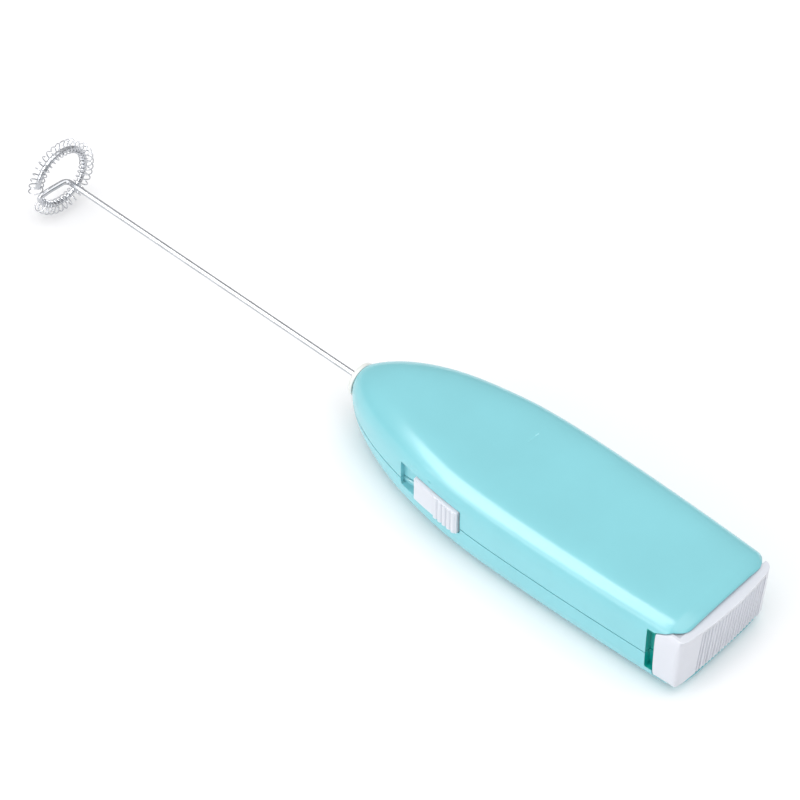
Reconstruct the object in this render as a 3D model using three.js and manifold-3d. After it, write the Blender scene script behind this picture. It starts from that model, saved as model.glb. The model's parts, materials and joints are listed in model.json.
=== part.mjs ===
// Battery milk frother: a hand-held handle with two cells, a small motor, a slide switch,
// a sliding battery cover and a wire whisk that carries a coil spring on its ring.
// Millimetres. While it is built, X = 0 is the front face of the shell and X grows
// towards the battery cover, Y = 0 and Z = 0 are on the axis of the whisk shaft.
import * as THREE from 'three';
import { mergeVertices } from 'three/addons/utils/BufferGeometryUtils.js';
import Module from 'manifold-3d';

const wasm = await Module();
wasm.setup();

// Driving dimensions
const gap = 0.3; // clearance kept between neighbouring pieces
const wall = 1.8; // moulded wall of the shells

const shell = {
  length: 109,
  maxHalfWidth: 18.4,
  widestAt: 56,
  noseOverrun: 1.6, // how far the plan curve runs on in front of the nose face
  noseFullness: 1.97, // exponent of the plan curve, 2 would be an ellipse
  rearTaper: 1.6,
  topHeight: 10.2,
  bottomHeight: 12,
  fullHeightAt: 24,
  heightOverrun: 3,
  restLevel: -11.8, // flat land that the frother lies on
  seam: -1.7,
  noseSquareness: 2.2, // superellipse exponent of the section at the nose
  bodySquareness: 5, // and behind it
  squareAt: 40,
  rollLength: 3.2,
  rollWidth: 1.9,
  rollHeight: 1.5,
  rollSlope: 0.55, // share of the roll that falls evenly, the rest curves down
};

const whisk = {
  wireRadius: 0.72,
  ringAt: -103.8,
  ringRadius: 8,
  bendRadius: 1.8,
  bendSweep: 1.35,
  armLead: 1.6, // how far behind the ring the arm starts
  armReach: 3, // handles of the curve that carries the arm into the ring
  armTurn: 1.8,
  joinAngle: 0.2,
  lean: 0.15, // turn of the ring about the shaft, arm downwards
  ringEnd: 5.95,
  innerEnd: 9.9,
  coilRingRadius: 8.75, // the coil hangs outwards on the ring
  coilRadius: 1.75,
  coilWireRadius: 0.27,
  coilTurns: 30,
  coilStart: 0.35, // angles round the ring from the arm, in radians
  coilEnd: 6.05,
};

const bush = { radius: 4.5, front: -1.8, edge: 0.9, stemRadius: 2.4, stemEnd: 3.6, bore: 1.05 };

const coupling = { front: 5.8, rear: 14.6, radius: 2.5, split: 10.2, wireBore: 1.02, shaftBore: 1.3 };

const motor = {
  front: 19.2,
  canRear: 40.7,
  rear: 43.4,
  radius: 10,
  flat: 7.5, // half thickness across the two flats
  canWall: 0.5,
  shaftRadius: 1,
  shaftRear: 44.8,
  bossRadius: 3,
  bossFront: 17.2,
  coreFront: 24,
  coreRear: 33.5,
  coreRadius: 6.4,
  magnetInner: 7,
  magnetOuter: 9.2,
  commutatorFront: 36.2,
  commutatorRear: 39.6,
  tabRear: 46.2,
};

const recess = { front: 25.9, rear: 46.4, bottom: -3.5, top: 4, floor: -14.4, floorThickness: 1.2 };

const slider = {
  front: 31.4,
  rear: 46,
  proud: 0.8, // how far its face stands out of the shell
  ribs: 5,
  ribPitch: 1.45,
  ribHeight: 0.45,
  stemFront: 36.6,
  stemRear: 41.6,
  travel: 4.5,
};

const cell = { radius: 7.15, length: 50.5, nippleRadius: 2.75, nippleLength: 1.2, offset: 7.45 };
cell.rear = shell.length - 5.5;
cell.front = cell.rear - cell.length;

const contact = { plane: -10.8, thickness: 0.4, bottom: -1.7, top: 2.3 };

const cover = {
  top: 7.8,
  bottom: -7.9,
  seat: shell.length - 0.7, // front of the head that shows outside
  end: shell.length + 2.6,
  endRadius: 100, // plan radius of the ribbed face
  lean: 0.09, // how far the ribbed face falls back for each millimetre down
  nearCorner: 1.5,
  farInset: 1.6, // the head ends this far short of the shell's side
  farCorner: 4.5,
  wingFront: shell.length - 5.9,
  wingRear: shell.length - 0.33,
  wingInside: -15.2,
  cornerInside: -11.5,
  wingBottom: -7.9,
  wingTop: 6.2, // at its front, from where the top edge rises to the head
  slotFront: shell.length - 8.2,
  slotBottom: -6.4,
  slotTop: 6.2,
  slotFloor: -15.4,
  flangeFront: shell.length - 4.3,
  flangeRear: shell.length - 2.8,
  flangeTop: 7,
  flangeBottom: -7.4,
  lipRear: shell.length - 1.1,
  lipDepth: 6,
  farEnd: 13,
  ribs: 20,
  ribPitch: 1.13,
  ribDepth: 0.4,
  ribsFrom: -10.2,
  ribsBelow: 1, // smooth lip above the ribs
};

const colour = {
  aqua: 0x93d8e2,
  offWhite: 0xe6e7e4,
  paleGrey: 0xd8dbe2,
  steel: 0xc9ccd0,
  brass: 0xc9a24a,
  copper: 0xb56a3a,
  darkGrey: 0x3b3d42,
  cellBody: 0x4a5568,
  redLead: 0xb8322c,
  blackLead: 0x22242a,
};

// Helpers
const finish = {
  plastic: (color, roughness = 0.3) => new THREE.MeshStandardMaterial({ color, roughness, metalness: 0 }),
  metal: (color, roughness = 0.25) => new THREE.MeshStandardMaterial({ color, roughness, metalness: 1 }),
};

function solidOf(geometry) {
  const bare = geometry.clone();
  bare.deleteAttribute('normal');
  bare.deleteAttribute('uv');
  const merged = mergeVertices(bare, 1e-4);
  return new wasm.Manifold(new wasm.Mesh({
    numProp: 3,
    vertProperties: new Float32Array(merged.attributes.position.array),
    triVerts: new Uint32Array(merged.index.array),
  }));
}

function geometryOf(solid) {
  const mesh = solid.getMesh();
  const geometry = new THREE.BufferGeometry();
  geometry.setAttribute('position', new THREE.BufferAttribute(mesh.vertProperties, 3));
  geometry.setIndex(new THREE.BufferAttribute(mesh.triVerts, 1));
  geometry.computeVertexNormals();
  return geometry;
}

function joined(...geometries) {
  return geometryOf(geometries.map(solidOf).reduce((sum, piece) => sum.add(piece)));
}

function cut(geometry, ...tools) {
  return geometryOf(tools.map(solidOf).reduce((rest, tool) => rest.subtract(tool), solidOf(geometry)));
}

function common(a, b) {
  return geometryOf(solidOf(a).intersect(solidOf(b)));
}

function block(x, y, z) {
  const geometry = new THREE.BoxGeometry(x[1] - x[0], y[1] - y[0], z[1] - z[0]);
  return geometry.translate((x[0] + x[1]) / 2, (y[0] + y[1]) / 2, (z[0] + z[1]) / 2);
}

// A solid of revolution about X, or about a line parallel to it, from [x, radius] corners.
function turned(corners, sides = 24, y = 0, z = 0) {
  const profile = corners.map(([x, radius]) => new THREE.Vector2(radius, x));
  const geometry = new THREE.LatheGeometry(profile, sides);
  return geometry.rotateZ(-Math.PI / 2).translate(0, y, z);
}

function rod(radius, x, sides = 24, y = 0, z = 0) {
  return turned([[x[0], 0], [x[0], radius], [x[1], radius], [x[1], 0]], sides, y, z);
}

function sleeve(radius, bore, x, sides = 24, y = 0, z = 0) {
  const corners = [[x[0], bore], [x[0], radius], [x[1], radius], [x[1], bore], [x[0], bore]];
  return turned(corners, sides, y, z);
}

// A plan outline in X and Y, pulled up along Z.
function planExtrusion(shape, z, curveSegments = 8) {
  const options = { depth: z[1] - z[0], bevelEnabled: false, curveSegments };
  return new THREE.ExtrudeGeometry(shape, options).translate(0, 0, z[0]);
}

// A side outline in X and Z, pulled along Y.
function sideExtrusion(shape, y) {
  const options = { depth: y[1] - y[0], bevelEnabled: false };
  return new THREE.ExtrudeGeometry(shape, options).rotateX(Math.PI / 2).translate(0, y[1], 0);
}

// A section outline in Y and Z, pulled along X.
function sectionExtrusion(shape, x, curveSegments = 12) {
  const options = { depth: x[1] - x[0], bevelEnabled: false, curveSegments };
  const geometry = new THREE.ExtrudeGeometry(shape, options);
  geometry.applyMatrix4(new THREE.Matrix4().set(0, 0, 1, x[0], 1, 0, 0, 0, 0, 1, 0, 0, 0, 0, 0, 1));
  return geometry;
}

function tubeAlong(curve, radius, sides, steps) {
  const ring = new THREE.Shape();
  for (let i = 0; i < sides; i += 1) {
    const angle = (2 * Math.PI * i) / sides;
    const corner = [radius * Math.cos(angle), radius * Math.sin(angle)];
    if (i === 0) ring.moveTo(...corner);
    else ring.lineTo(...corner);
  }
  return new THREE.ExtrudeGeometry(ring, { steps, extrudePath: curve, bevelEnabled: false });
}

class CurveFrom extends THREE.Curve {
  constructor(pointAt) {
    super();
    this.pointAt = pointAt;
  }

  getPoint(t, target = new THREE.Vector3()) {
    return target.copy(this.pointAt(t));
  }
}

// Outer form of the handle
// Quarter-ellipse growth from the nose, then a soft taper towards the rear.
function halfWidth(x) {
  if (x < shell.widestAt) {
    const u = (shell.widestAt - x) / (shell.widestAt + shell.noseOverrun);
    return shell.maxHalfWidth * Math.sqrt(1 - u ** shell.noseFullness);
  }
  const t = (x - shell.widestAt) / (shell.length - shell.widestAt);
  return shell.maxHalfWidth - shell.rearTaper * t * t;
}

function heightShare(x) {
  if (x >= shell.fullHeightAt) return 1;
  const u = (shell.fullHeightAt - x) / (shell.fullHeightAt + shell.heightOverrun);
  return Math.sqrt(1 - u * u);
}

function squareness(x) {
  const t = Math.min(1, x / shell.squareAt);
  return shell.noseSquareness + (shell.bodySquareness - shell.noseSquareness) * t;
}

function rollDrop(x) {
  const s = Math.min(1, Math.max(0, (x - shell.length + shell.rollLength) / shell.rollLength));
  return shell.rollSlope * s + (1 - shell.rollSlope) * (1 - Math.sqrt(1 - s * s));
}

// One point of the form. Angle 0 is +Y and a quarter turn is +Z.
function formPoint(x, angle, inset, rolled) {
  const drop = rolled ? rollDrop(x) : 0;
  const width = halfWidth(x) - shell.rollWidth * drop - inset;
  const lift = Math.sin(angle) > 0 ? shell.topHeight : shell.bottomHeight;
  const height = lift * heightShare(x) - shell.rollHeight * drop - inset;
  const power = 2 / squareness(x);
  const y = width * Math.sign(Math.cos(angle)) * Math.abs(Math.cos(angle)) ** power;
  const z = height * Math.sign(Math.sin(angle)) * Math.abs(Math.sin(angle)) ** power;
  return new THREE.Vector3(x, y, Math.max(z, shell.restLevel + inset));
}

// The form as a closed solid between the given X stations.
function handleForm(stations, inset = 0, rolled = true, sides = 48) {
  const geometry = new THREE.CylinderGeometry(1, 1, 1, sides, stations.length - 1);
  const position = geometry.attributes.position;
  for (let i = 0; i < position.count; i += 1) {
    const row = Math.round((0.5 - position.getY(i)) * (stations.length - 1));
    const x = stations[row];
    const onAxis = Math.hypot(position.getX(i), position.getZ(i)) < 0.5;
    const angle = Math.atan2(position.getZ(i), position.getX(i));
    const point = onAxis ? new THREE.Vector3(x, 0, 0) : formPoint(x, angle, inset, rolled);
    position.setXYZ(i, point.x, point.y, point.z);
  }
  return facingOut(geometry);
}

// Turns the faces round if the solid came out with its inside outwards.
function facingOut(geometry) {
  const position = geometry.attributes.position;
  const index = geometry.index.array;
  const corner = [new THREE.Vector3(), new THREE.Vector3(), new THREE.Vector3()];
  let volume = 0;
  for (let i = 0; i < index.length; i += 3) {
    corner.forEach((v, k) => v.fromBufferAttribute(position, index[i + k]));
    volume += corner[0].dot(corner[1].cross(corner[2]));
  }
  if (volume < 0) {
    for (let i = 0; i < index.length; i += 3) [index[i + 1], index[i + 2]] = [index[i + 2], index[i + 1]];
  }
  return geometry;
}

function noseStations(from, count) {
  const steps = [];
  for (let i = 0; i <= count; i += 1) {
    steps.push(from + (shell.widestAt - from) * (i / count) ** 1.7);
  }
  return steps;
}

function rearStations() {
  const rollStart = shell.length - shell.rollLength;
  const steps = [74, 91, rollStart];
  for (let i = 1; i <= 5; i += 1) {
    steps.push(rollStart + shell.rollLength * Math.sin((Math.PI / 2) * (i / 5)));
  }
  return steps;
}

// Shells
function motorSection(grow) {
  const radius = motor.radius + grow;
  const flat = motor.flat + grow;
  const lean = Math.asin(flat / radius);
  const shape = new THREE.Shape();
  shape.absarc(0, 0, radius, -lean, lean, false);
  shape.absarc(0, 0, radius, Math.PI - lean, Math.PI + lean, false);
  shape.closePath();
  return shape;
}

function shellBody() {
  const outer = handleForm([...noseStations(0, 12), ...rearStations()]);
  const cavity = handleForm([...noseStations(wall + 1.6, 8), 84, shell.length + 4], wall, false, 32);
  const pocketWall = 1.5;
  const pocket = common(outer, block(
    [recess.front - pocketWall, recess.rear + pocketWall],
    [-20, recess.floor + recess.floorThickness],
    [recess.bottom - pocketWall, recess.top + pocketWall],
  ));
  const mouth = block([cover.flangeRear + gap, 140], [-30, 30], [cover.bottom - gap, cover.top + gap]);
  const lipRun = [cover.cornerInside + gap, cover.farEnd + 0.6];
  const lips = [[cover.lipDepth, 8.9], [-10.5, -cover.lipDepth]].map((z) => {
    return common(outer, block([cover.flangeRear + gap, cover.lipRear], lipRun, z));
  });
  const slotBacking = block(
    [cover.slotFront - 0.5, cover.wingFront],
    [cover.slotFloor, cover.slotFloor + 0.5],
    [cover.slotBottom - 0.6, cover.slotTop + 0.6],
  );
  const bed = cut(outer, cavity, mouth);
  return cut(
    joined(bed, pocket, slotBacking, ...lips, ...innerRibs(outer)),
    rod(bush.stemRadius + gap, [-1, wall + 3], 20),
    block([recess.front, recess.rear], [-30, recess.floor], [recess.bottom, recess.top]),
    block([slider.stemFront - slider.travel - 0.5, slider.stemRear + 0.5], [-16, -12], [-1.3, 1.9]),
    block([cover.slotFront, cover.wingFront], [-30, cover.slotFloor], [cover.slotBottom, cover.slotTop]),
    sideExtrusion(wingOutline(gap, 140), [-30, -13]),
  );
}

// Cradle ribs under and over the motor, the bulkhead behind it and the fence between the cells.
function innerRibs(outer) {
  const ribs = [];
  const bulkhead = [cell.front - 5.8, cell.front - 4.9];
  const cradle = [motor.front + 2.8, motor.canRear - 3.3].map((x) => [x, x + 1.4]);
  const fence = [cell.front + 1, cell.rear - 4];
  for (const z of [[-13, -3.2], [3.6, 12]]) {
    for (const x of cradle) {
      const near = z[0] > 0 ? -9.3 : -12.2; // leaves a channel for the red lead
      const plate = common(outer, block(x, [near, 12.2], z));
      ribs.push(cut(plate, sectionExtrusion(motorSection(gap), [x[0] - 1, x[1] + 1])));
    }
    ribs.push(common(outer, block(bulkhead, [-18, 18], z)));
  }
  ribs.push(block(fence, [-0.6, 0.6], [-10.6, -5]));
  ribs.push(block(fence, [-0.6, 0.6], [5, 8.9]));
  return ribs;
}

function topShell(body) {
  return common(body, block([-5, 130], [-30, 30], [shell.seam + gap / 2, 30]));
}

function bottomShell(body) {
  return common(body, block([-5, 130], [-30, 30], [-30, shell.seam - gap / 2]));
}

function noseBush() {
  const rounded = [0, 0.33, 0.67, 1].map((t) => {
    const angle = (t * Math.PI) / 2;
    const x = bush.front + bush.edge * (1 - Math.sin(angle));
    return [x, bush.radius - bush.edge * (1 - Math.cos(angle))];
  });
  return turned([
    [bush.front, bush.bore],
    ...rounded.reverse(),
    [-gap, bush.radius],
    [-gap, bush.stemRadius],
    [bush.stemEnd, bush.stemRadius],
    [bush.stemEnd, bush.bore],
    [bush.front, bush.bore],
  ], 28);
}

// Switch
// The face follows the shell at a small height, with rounded ridges on its rear half.
function switchSlider() {
  const back = recess.floor - gap;
  const face = (x) => -(halfWidth(x) + slider.proud);
  const shape = new THREE.Shape();
  shape.moveTo(slider.front, back);
  shape.lineTo(slider.front, face(slider.front) + 0.8);
  shape.quadraticCurveTo(slider.front, face(slider.front), slider.front + 0.8, face(slider.front + 0.8));
  const ribStart = slider.rear - 0.3 - slider.ribs * slider.ribPitch;
  shape.lineTo(ribStart, face(ribStart));
  for (let i = 0; i < slider.ribs; i += 1) {
    const x = ribStart + i * slider.ribPitch;
    const far = x + slider.ribPitch;
    shape.quadraticCurveTo(x + slider.ribPitch / 2, face(x) - 2 * slider.ribHeight, far, face(far));
  }
  shape.lineTo(slider.rear, face(slider.rear) + 0.4);
  shape.lineTo(slider.rear, back);
  shape.closePath();
  const cap = planExtrusion(shape, [recess.bottom + 0.2, recess.top - 0.2], 4);
  const stem = block([slider.stemFront, slider.stemRear], [-15.5, -12.3], [-1, 1.6]);
  const foot = block([slider.stemFront - 1, slider.stemRear + 2], [-12.9, -12.3], [-2.8, 3.3]);
  return joined(cap, stem, foot);
}

function switchBridge() {
  const leaf = block([slider.stemFront - 0.5, slider.stemRear + 1.5], [-12, -11.7], [-1.6, 2.2]);
  const bump = (x) => rod(0.5, [x - 1, x + 1], 10, -11.7, 0.3);
  return joined(leaf, bump(slider.stemFront + 1), bump(slider.stemRear + 0.2));
}

const contactDepth = [contact.plane - contact.thickness / 2, contact.plane + contact.thickness / 2];

function switchFrontContact() {
  const x = [slider.stemFront - 9, slider.stemFront - 2.5];
  return block(x, contactDepth, [contact.bottom, contact.top]);
}

// One brass strip from the switch to the positive end of the near cell.
function batteryContactStrip() {
  const end = cell.front - 0.4;
  const run = block([slider.stemFront, end], contactDepth, [contact.bottom, contact.top]);
  const pad = block([end - contact.thickness, end], [contactDepth[0], -3.9], [-3, 3]);
  return joined(run, pad);
}

// Battery cover
function coverPlan() {
  const near = -halfWidth(shell.length);
  const far = halfWidth(shell.length) - cover.farInset;
  const sag = (y) => cover.endRadius - Math.sqrt(cover.endRadius ** 2 - y ** 2);
  const end = (y) => cover.end - sag(y);
  const shape = new THREE.Shape();
  shape.moveTo(cover.seat, near - 1);
  shape.lineTo(end(near) - cover.nearCorner, near - 1);
  shape.lineTo(end(near) - cover.nearCorner, near);
  shape.quadraticCurveTo(end(near), near, end(near), near + cover.nearCorner);
  const steps = 14;
  for (let i = 1; i <= steps; i += 1) {
    const y = near + cover.nearCorner + ((far - cover.farCorner - near - cover.nearCorner) * i) / steps;
    shape.lineTo(end(y), y);
  }
  shape.quadraticCurveTo(end(far) + 0.6, far, cover.seat, far);
  shape.closePath();
  return shape;
}

// The ribbed face leans back towards its foot, so the lower points move forward.
function leaned(geometry) {
  const position = geometry.attributes.position;
  for (let i = 0; i < position.count; i += 1) {
    const x = position.getX(i);
    const share = (x - cover.seat) / (cover.end - cover.seat);
    position.setX(i, x - share * cover.lean * (cover.top - position.getZ(i)));
  }
  return geometry;
}

function wingOutline(grow, end) {
  const shape = new THREE.Shape();
  shape.moveTo(cover.wingFront - grow, cover.wingBottom - grow);
  shape.lineTo(end, cover.wingBottom - grow);
  shape.lineTo(end, cover.top + grow);
  shape.lineTo(cover.flangeRear + gap, cover.top + grow);
  shape.lineTo(cover.wingFront - grow, cover.wingTop + grow);
  shape.closePath();
  return shape;
}

function batteryCover() {
  const flush = handleForm([shell.length - 17, shell.length - 9, shell.length, shell.length + 6], 0, false);
  const head = leaned(planExtrusion(coverPlan(), [cover.bottom, cover.top], 8));
  const wingSide = sideExtrusion(wingOutline(0, cover.wingRear), [-30, cover.wingInside]);
  const wing = common(wingSide, flush);
  const span = [cover.wingInside - 0.4, cover.farEnd];
  const flangeHeight = [cover.flangeBottom, cover.flangeTop];
  const flange = block([cover.flangeFront, cover.flangeRear], span, flangeHeight);
  const neckHalf = cover.lipDepth - gap;
  const neck = block([cover.flangeRear - 0.2, cover.seat + 0.2], span, [-neckHalf, neckHalf]);
  const grooves = [];
  for (let i = 0; i < cover.ribs; i += 1) {
    const y = cover.ribsFrom + i * cover.ribPitch;
    const depth = cover.endRadius - Math.sqrt(cover.endRadius ** 2 - y ** 2) + cover.ribDepth;
    const across = [y, y + cover.ribPitch * 0.42];
    const upright = [-20, cover.top - cover.ribsBelow];
    grooves.push(leaned(block([cover.end - depth, cover.end + 2], across, upright)));
  }
  const corner = common(flush, block(
    [cover.flangeRear + gap + 0.1, cover.seat + 0.3],
    [-30, cover.cornerInside],
    [cover.bottom + 0.1, cover.top - 0.1],
  ));
  return joined(cut(common(head, flush), ...grooves), wing, corner, flange, neck);
}

function coverContact() {
  const strip = block([cell.rear + 0.35, cell.rear + 0.85], [-12.5, 12.5], [-3.5, 3.5]);
  return cut(strip, block([cell.rear, cell.rear + 2], [-2, 2], [1.5, 5]));
}

// Cells and contacts
function batteryCell(y, nippleTowardsFront) {
  const body = nippleTowardsFront
    ? [cell.front + cell.nippleLength, cell.rear]
    : [cell.front, cell.rear - cell.nippleLength];
  const tip = nippleTowardsFront ? [cell.front, body[0] + 0.5] : [body[1] - 0.5, cell.rear];
  const bevel = 0.5;
  const can = turned([
    [body[0], 0],
    [body[0], cell.radius - bevel],
    [body[0] + bevel, cell.radius],
    [body[1] - bevel, cell.radius],
    [body[1], cell.radius - bevel],
    [body[1], 0],
  ], 28, y);
  return joined(can, rod(cell.nippleRadius, tip, 16, y));
}

function springPlate() {
  const x = cell.front - 4.3;
  return block([x, x + contact.thickness], [cell.offset - 5, cell.offset + 5], [-5, 5]);
}

function batterySpring() {
  const turns = 3.5;
  const wire = 0.3;
  const start = cell.front - 3.6 + wire;
  const end = cell.front - gap - wire;
  const curve = new CurveFrom((t) => {
    const angle = 2 * Math.PI * turns * t;
    const radius = 4.2 - 2 * t;
    const x = start + (end - start) * t;
    return new THREE.Vector3(x, cell.offset + radius * Math.cos(angle), radius * Math.sin(angle));
  });
  return tubeAlong(curve, wire, 4, 42);
}

// Motor
function motorCan() {
  const skin = sectionExtrusion(motorSection(0), [motor.front, motor.canRear]);
  const inside = [motor.front + motor.canWall, motor.rear];
  const hollow = sectionExtrusion(motorSection(-motor.canWall), inside);
  const boss = rod(motor.bossRadius, [motor.bossFront, motor.front + 0.2], 20);
  const seat = rod(motor.bossRadius - 0.6, [motor.bossFront + 0.5, motor.front + 2], 20);
  const hole = rod(motor.shaftRadius + 0.5, [motor.bossFront - 1, motor.front], 16);
  return cut(joined(cut(skin, hollow), boss), seat, hole);
}

function motorEndCap() {
  const plate = sectionExtrusion(motorSection(0), [motor.canRear + gap, motor.rear]);
  const slots = [-1, 1].map((side) => {
    const y = side < 0 ? [-3.5, -2.4] : [2.4, 3.5];
    return block([motor.canRear, motor.rear + 1], y, [-6.4, -3.6]);
  });
  const seat = rod(2.4, [motor.canRear, motor.rear - 0.6], 20);
  return cut(plate, seat, rod(1.5, [motor.canRear, motor.rear + 1], 16), ...slots);
}

function bearing(x, length) {
  return sleeve(2.1, motor.shaftRadius + gap, [x, x + length], 16);
}

function motorMagnet(side) {
  const reach = Math.PI / 4;
  const middle = side < 0 ? Math.PI : 0;
  const shape = new THREE.Shape();
  shape.absarc(0, 0, motor.magnetOuter, middle - reach, middle + reach, false);
  shape.absarc(0, 0, motor.magnetInner, middle + reach, middle - reach, true);
  shape.closePath();
  return sectionExtrusion(shape, [motor.coreFront - 1.5, motor.coreRear + 1.5], 8);
}

function armatureCore() {
  const poles = 3;
  const pieces = [rod(2.4, [motor.coreFront, motor.coreRear], 18)];
  for (let i = 0; i < poles; i += 1) {
    const angle = (2 * Math.PI * i) / poles;
    const neck = block([motor.coreFront, motor.coreRear], [1, 5.6], [-1, 1]).rotateX(angle);
    const shoe = new THREE.Shape();
    const reach = 0.85;
    arcBand(shoe, 5, motor.coreRadius, angle, reach);
    pieces.push(neck, sectionExtrusion(shoe, [motor.coreFront, motor.coreRear], 6));
  }
  const bore = rod(motor.shaftRadius + gap, [motor.coreFront - 1, motor.coreRear + 1], 16);
  return cut(joined(...pieces), bore);
}

function arcBand(shape, inner, outer, middle, reach) {
  shape.absarc(0, 0, outer, middle - reach, middle + reach, false);
  shape.absarc(0, 0, inner, middle + reach, middle - reach, true);
  shape.closePath();
}

function armatureWinding(i) {
  const bundle = block([motor.coreFront - 1.8, motor.coreRear + 1.8], [2.75, 4.25], [-2.2, 2.2]);
  const window = block([motor.coreFront - gap, motor.coreRear + gap], [0, 8], [-1.3, 1.3]);
  return cut(bundle, window).rotateX((2 * Math.PI * i) / 3);
}

function commutator() {
  const x = [motor.commutatorFront, motor.commutatorRear];
  const drum = sleeve(2.3, motor.shaftRadius + gap, x, 18);
  const splits = [0, 1, 2].map((i) => {
    const split = block([x[0] - 1, x[1] - 1], [1.9, 3], [-0.15, 0.15]);
    return split.rotateX((2 * Math.PI * i) / 3 + Math.PI / 3);
  });
  return cut(drum, ...splits);
}

function brush(side) {
  const y = side < 0 ? [-3.1, -2.75] : [2.75, 3.1];
  const x = motor.commutatorFront + 1;
  const leaf = block([x, x + 1.4], y, [-6, 3.5]);
  const tab = block([x, motor.tabRear], y, [-6, -4]);
  return joined(leaf, tab);
}

function shaftCoupling() {
  const body = sleeve(coupling.radius, coupling.wireBore, [coupling.front, coupling.rear], 20);
  return cut(body, rod(coupling.shaftBore, [coupling.split, coupling.rear + 1], 18));
}

// Whisk
// Shaft on the axis, a bend, a curved arm towards -Y and almost a full ring.
function whiskWire() {
  const path = new THREE.CurvePath();
  const x = whisk.ringAt;
  const bend = whisk.bendRadius;
  const bendStart = x + whisk.armLead + bend * Math.sin(whisk.bendSweep);
  const shaftEnds = [whisk.innerEnd, bendStart].map((along) => new THREE.Vector3(along, 0, 0));
  path.add(new THREE.LineCurve3(...shaftEnds));
  path.add(new CurveFrom((t) => {
    const angle = t * whisk.bendSweep;
    return new THREE.Vector3(bendStart - bend * Math.sin(angle), -bend * (1 - Math.cos(angle)), 0);
  }));
  const armOut = bend * (1 - Math.cos(whisk.bendSweep));
  const start = new THREE.Vector3(x + whisk.armLead, -armOut, 0);
  const heading = new THREE.Vector3(-Math.cos(whisk.bendSweep), -Math.sin(whisk.bendSweep), 0);
  const end = ringPoint(whisk.joinAngle);
  const ringHeading = new THREE.Vector3(0, Math.sin(whisk.joinAngle), -Math.cos(whisk.joinAngle));
  path.add(new THREE.CubicBezierCurve3(
    start,
    start.clone().addScaledVector(heading, whisk.armReach),
    end.clone().addScaledVector(ringHeading, -whisk.armTurn),
    end,
  ));
  const ringSweep = whisk.ringEnd - whisk.joinAngle;
  path.add(new CurveFrom((t) => ringPoint(whisk.joinAngle + t * ringSweep)));
  return path;
}

// Angle 0 is -Y, where the arm meets the ring, and it grows towards -Z.
function ringPoint(angle, radius = whisk.ringRadius, x = whisk.ringAt) {
  return new THREE.Vector3(x, -radius * Math.cos(angle), -radius * Math.sin(angle));
}

function whiskWireSolid() {
  const path = whiskWire();
  const points = [];
  const steps = [1, 5, 12, 44];
  path.curves.forEach((curve, k) => {
    for (let i = 0; i < steps[k]; i += 1) points.push(curve.getPoint(i / steps[k]));
  });
  points.push(path.curves.at(-1).getPoint(1));
  const chain = new CurveFrom((t) => {
    const along = THREE.MathUtils.clamp(t, 0, 1) * (points.length - 1);
    const i = Math.min(Math.floor(along), points.length - 2);
    return new THREE.Vector3().lerpVectors(points[i], points[i + 1], along - i);
  });
  chain.getPointAt = chain.getPoint;
  const span = 0.004;
  chain.getTangentAt = (t) => chain.getPoint(t + span).sub(chain.getPoint(t - span)).normalize();
  return tubeAlong(chain, whisk.wireRadius, 8, points.length - 1).rotateX(whisk.lean);
}

// Fine spring wire wound round the ring, pulled open over its last turns.
function whiskCoil() {
  const sweep = whisk.coilEnd - whisk.coilStart;
  const stepsPerTurn = 8;
  const curve = new CurveFrom((t) => {
    const along = whisk.coilStart + sweep * t;
    const around = 2 * Math.PI * whisk.coilTurns * t;
    const radius = whisk.coilRingRadius - whisk.coilRadius * Math.cos(around);
    return ringPoint(along, radius, whisk.ringAt + whisk.coilRadius * Math.sin(around));
  });
  curve.getPointAt = curve.getPoint;
  curve.getTangentAt = (t) => curve.getPoint(t + 1e-4).sub(curve.getPoint(t - 1e-4)).normalize();
  const tube = tubeAlong(curve, whisk.coilWireRadius, 4, whisk.coilTurns * stepsPerTurn);
  return tube.rotateX(whisk.lean);
}

// Leads
function lead(points) {
  const curve = new THREE.CatmullRomCurve3(points.map((p) => new THREE.Vector3(...p)));
  return tubeAlong(curve, 0.45, 6, 16);
}

// Assembly
const frother = new THREE.Group();
const handle = new THREE.Group();
const spinning = new THREE.Group();
const switchGroup = new THREE.Group();
const coverGroup = new THREE.Group();
frother.add(handle, spinning, switchGroup, coverGroup);

function place(group, name, geometry, material) {
  const mesh = new THREE.Mesh(geometry, material);
  mesh.name = name;
  group.add(mesh);
}

const body = shellBody();
place(handle, 'top_shell', topShell(body), finish.plastic(colour.aqua, 0.22));
place(handle, 'bottom_shell', bottomShell(body), finish.plastic(colour.aqua, 0.22));
place(handle, 'nose_bush', noseBush(), finish.plastic(colour.offWhite));
place(handle, 'switch_front_contact', switchFrontContact(), finish.metal(colour.brass));
place(handle, 'battery_contact_strip', batteryContactStrip(), finish.metal(colour.brass));
place(handle, 'spring_plate', springPlate(), finish.metal(colour.brass));
place(handle, 'battery_spring', batterySpring(), finish.metal(colour.steel));
place(handle, 'cell_near', batteryCell(-cell.offset, true), finish.plastic(colour.cellBody));
place(handle, 'cell_far', batteryCell(cell.offset, false), finish.plastic(colour.cellBody));
place(handle, 'motor_can', motorCan(), finish.metal(colour.steel));
place(handle, 'motor_end_cap', motorEndCap(), finish.plastic(colour.offWhite));
place(handle, 'motor_magnet_near', motorMagnet(-1), finish.plastic(colour.darkGrey, 0.8));
place(handle, 'motor_magnet_far', motorMagnet(1), finish.plastic(colour.darkGrey, 0.8));
place(handle, 'motor_front_bearing', bearing(motor.bossFront + 0.8, 2), finish.metal(colour.brass));
place(handle, 'motor_rear_bearing', bearing(motor.canRear + 0.6, 1.4), finish.metal(colour.brass));
place(handle, 'brush_near', brush(-1), finish.metal(colour.copper));
place(handle, 'brush_far', brush(1), finish.metal(colour.copper));
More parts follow.
